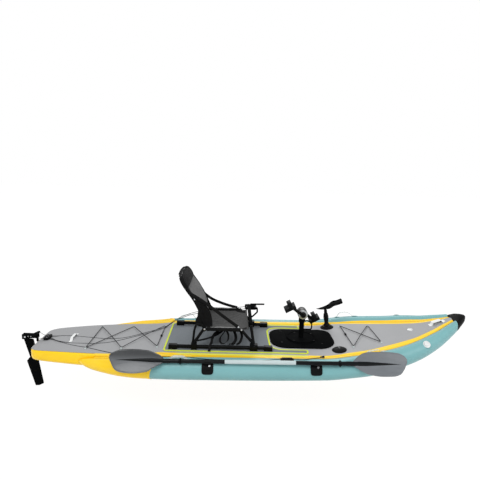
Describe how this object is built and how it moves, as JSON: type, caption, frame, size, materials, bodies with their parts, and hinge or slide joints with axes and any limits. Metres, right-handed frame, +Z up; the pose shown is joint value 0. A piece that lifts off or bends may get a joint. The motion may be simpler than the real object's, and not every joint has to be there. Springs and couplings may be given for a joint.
{
  "type": "fishing kayak",
  "caption": "Sit-on-top inflatable fishing kayak with side tubes, high-back seat on rails, hand steering, rudder, pedal drive, rod holder and a paddle in its keepers.",
  "frame": {"origin": "middle of the hull's flat bottom, at half the hull's length", "axes": "+X to the bow, +Y to port, +Z up"},
  "size_m": [3.92, 1.1006, 1.1063],
  "materials": {
    "teal_fabric": "satin coated fabric",
    "yellow_fabric": "satin coated fabric",
    "grey_fabric": "fine grained coated fabric",
    "pad_foam": "brushed foam",
    "black_plastic": "satin",
    "black_metal": "satin black coat",
    "silver_metal": "satin",
    "seat_fabric": "woven",
    "dark_webbing": "woven webbing",
    "pale_webbing": "woven webbing",
    "pale_plastic": "satin",
    "cord_cover": "braided",
    "cable_sheath": "smooth",
    "paddle_shaft_tube": "satin",
    "paddle_blade_plastic": "moulded"
  },
  "bodies": {
    "hull": {"floor_board": "yellow_fabric", "deck_skin": "grey_fabric", "deck_pad": "pad_foam", "port_tube": "teal_fabric", "starboard_tube": "teal_fabric", "port_rail_strip": "yellow_fabric", "starboard_rail_strip": "yellow_fabric", "bow_cap": "black_plastic", "stern_handle": "pale_webbing", "bow_handle": "pale_webbing", "port_rear_handle": "dark_webbing", "port_front_handle": "dark_webbing", "starboard_rear_handle": "dark_webbing", "starboard_front_handle": "dark_webbing", "rear_bungee": "cord_cover", "front_bungee": "cord_cover", "port_seat_rail": "black_metal", "starboard_seat_rail": "black_metal", "port_steering_cable": "cable_sheath", "starboard_steering_cable": "cable_sheath", "rudder_lift_line": "cord_cover", "line_toggle": "black_plastic", "line_cleat": "black_plastic", "cable_guide_block": "black_plastic", "rudder_bracket": "black_metal", "drive_plate": "black_plastic", "drive_column": "black_metal", "gear_head": "black_metal", "gear_head_cover": "silver_metal", "rod_holder_base": "black_plastic", "accessory_base": "black_plastic", "rear_paddle_keeper": "black_plastic", "front_paddle_keeper": "black_plastic"},
    "valve_cap": {"deck_valve": "pale_plastic"},
    "seat": {"port_seat_frame": "black_metal", "starboard_seat_frame": "black_metal", "front_crossbar": "black_metal", "seat_sling": "seat_fabric", "port_back_strap": "dark_webbing", "starboard_back_strap": "dark_webbing", "steering_box": "black_plastic"},
    "seat_back": {"back_frame": "black_metal", "back_panel": "seat_fabric"},
    "port_knob": {"port_lock_knob": "black_plastic"},
    "starboard_knob": {"starboard_lock_knob": "black_plastic"},
    "lever": {"steering_lever": "black_plastic"},
    "rudder": {"rudder_head": "black_plastic", "blade_bolt": "black_metal"},
    "blade": {"rudder_blade": "black_plastic"},
    "crank": {"crank_axle": "black_metal", "starboard_crank": "black_metal"},
    "port_pedal": {"port_pedal": "black_plastic"},
    "starboard_pedal": {"starboard_pedal": "black_plastic"},
    "shaft": {"drive_shaft": "silver_metal"},
    "propeller": {"propeller": "black_plastic"},
    "holder_post": {"rod_holder_post": "black_plastic"},
    "holder_tube": {"rod_holder_tube": "black_plastic"},
    "paddle": {"paddle_shaft": "paddle_shaft_tube", "rear_paddle_blade": "paddle_blade_plastic", "front_paddle_blade": "paddle_blade_plastic"}
  },
  "joints": [
    {"name": "valve_cap_turn", "type": "hinge", "parent": "hull", "child": "valve_cap", "pos_m": [1.406, 0, 0.262], "axis": [-0.2136, 0, 0.9769], "range_deg": [0, 90]},
    {"name": "seat_slide", "type": "slide", "parent": "hull", "child": "seat", "axis": [1, 0, 0], "range_m": [-0.11, 0.045], "deforming": ["port_steering_cable", "starboard_steering_cable"]},
    {"name": "back_fold", "type": "hinge", "parent": "seat", "child": "seat_back", "pos_m": [-0.42, 0, 0.326], "axis": [0, 1, 0], "range_deg": [0, 90], "deforming": ["port_back_strap", "starboard_back_strap"]},
    {"name": "port_knob_turn", "type": "hinge", "parent": "seat", "child": "port_knob", "pos_m": [-0.006, 0.295, 0.192], "axis": [0, 1, 0], "range_deg": [0, 360]},
    {"name": "starboard_knob_turn", "type": "hinge", "parent": "seat", "child": "starboard_knob", "pos_m": [-0.006, -0.295, 0.192], "axis": [0, -1, 0], "range_deg": [0, 360]},
    {"name": "rudder_turn", "type": "hinge", "parent": "hull", "child": "rudder", "pos_m": [-1.908, 0, 0.094], "axis": [0, 0, 1], "range_deg": [-35, 35]},
    {"name": "steering_lever_turn", "type": "hinge", "parent": "seat", "child": "lever", "pos_m": [-0.029, 0.345, 0.34], "axis": [0, 0, 1], "range_deg": [-36, 36]},
    {"name": "rudder_kick", "type": "hinge", "parent": "rudder", "child": "blade", "pos_m": [-2.008, 0, 0.12], "axis": [0, 1, 0], "range_deg": [0, 100]},
    {"name": "crank_turn", "type": "hinge", "parent": "hull", "child": "crank", "pos_m": [0.431, 0, 0.395], "axis": [0, 1, 0], "continuous": true},
    {"name": "drive_shaft_turn", "type": "hinge", "parent": "hull", "child": "shaft", "pos_m": [0.431, 0, 0.2], "axis": [0, 0, 1], "continuous": true},
    {"name": "propeller_turn", "type": "hinge", "parent": "hull", "child": "propeller", "pos_m": [0.32, 0, -0.168], "axis": [1, 0, 0], "continuous": true},
    {"name": "port_pedal_turn", "type": "hinge", "parent": "crank", "child": "port_pedal", "pos_m": [0.56206, 0.123, 0.30323], "axis": [0, 1, 0], "continuous": true},
    {"name": "starboard_pedal_turn", "type": "hinge", "parent": "crank", "child": "starboard_pedal", "pos_m": [0.29994, -0.123, 0.48677], "axis": [0, 1, 0], "continuous": true},
    {"name": "rod_holder_swivel", "type": "hinge", "parent": "hull", "child": "holder_post", "pos_m": [0.719, 0.252, 0.16765], "axis": [-0.1419, 0, 0.9899], "continuous": true},
    {"name": "rod_holder_tilt", "type": "hinge", "parent": "holder_post", "child": "holder_tube", "pos_m": [0.6933, 0.252, 0.3468], "axis": [0.0691, 0.9976, 0.0099], "range_deg": [-50, 25]},
    {"name": "paddle_lift_off", "type": "slide", "parent": "hull", "child": "paddle", "axis": [0, -0.6237, 0.7817], "range_m": [0, 0.2]}
  ],
  "couplings": [
    {"joint": "steering_lever_turn", "follows": "rudder_turn", "ratio": 1},
    {"joint": "drive_shaft_turn", "follows": "crank_turn", "ratio": 3},
    {"joint": "propeller_turn", "follows": "crank_turn", "ratio": 6}
  ]
}
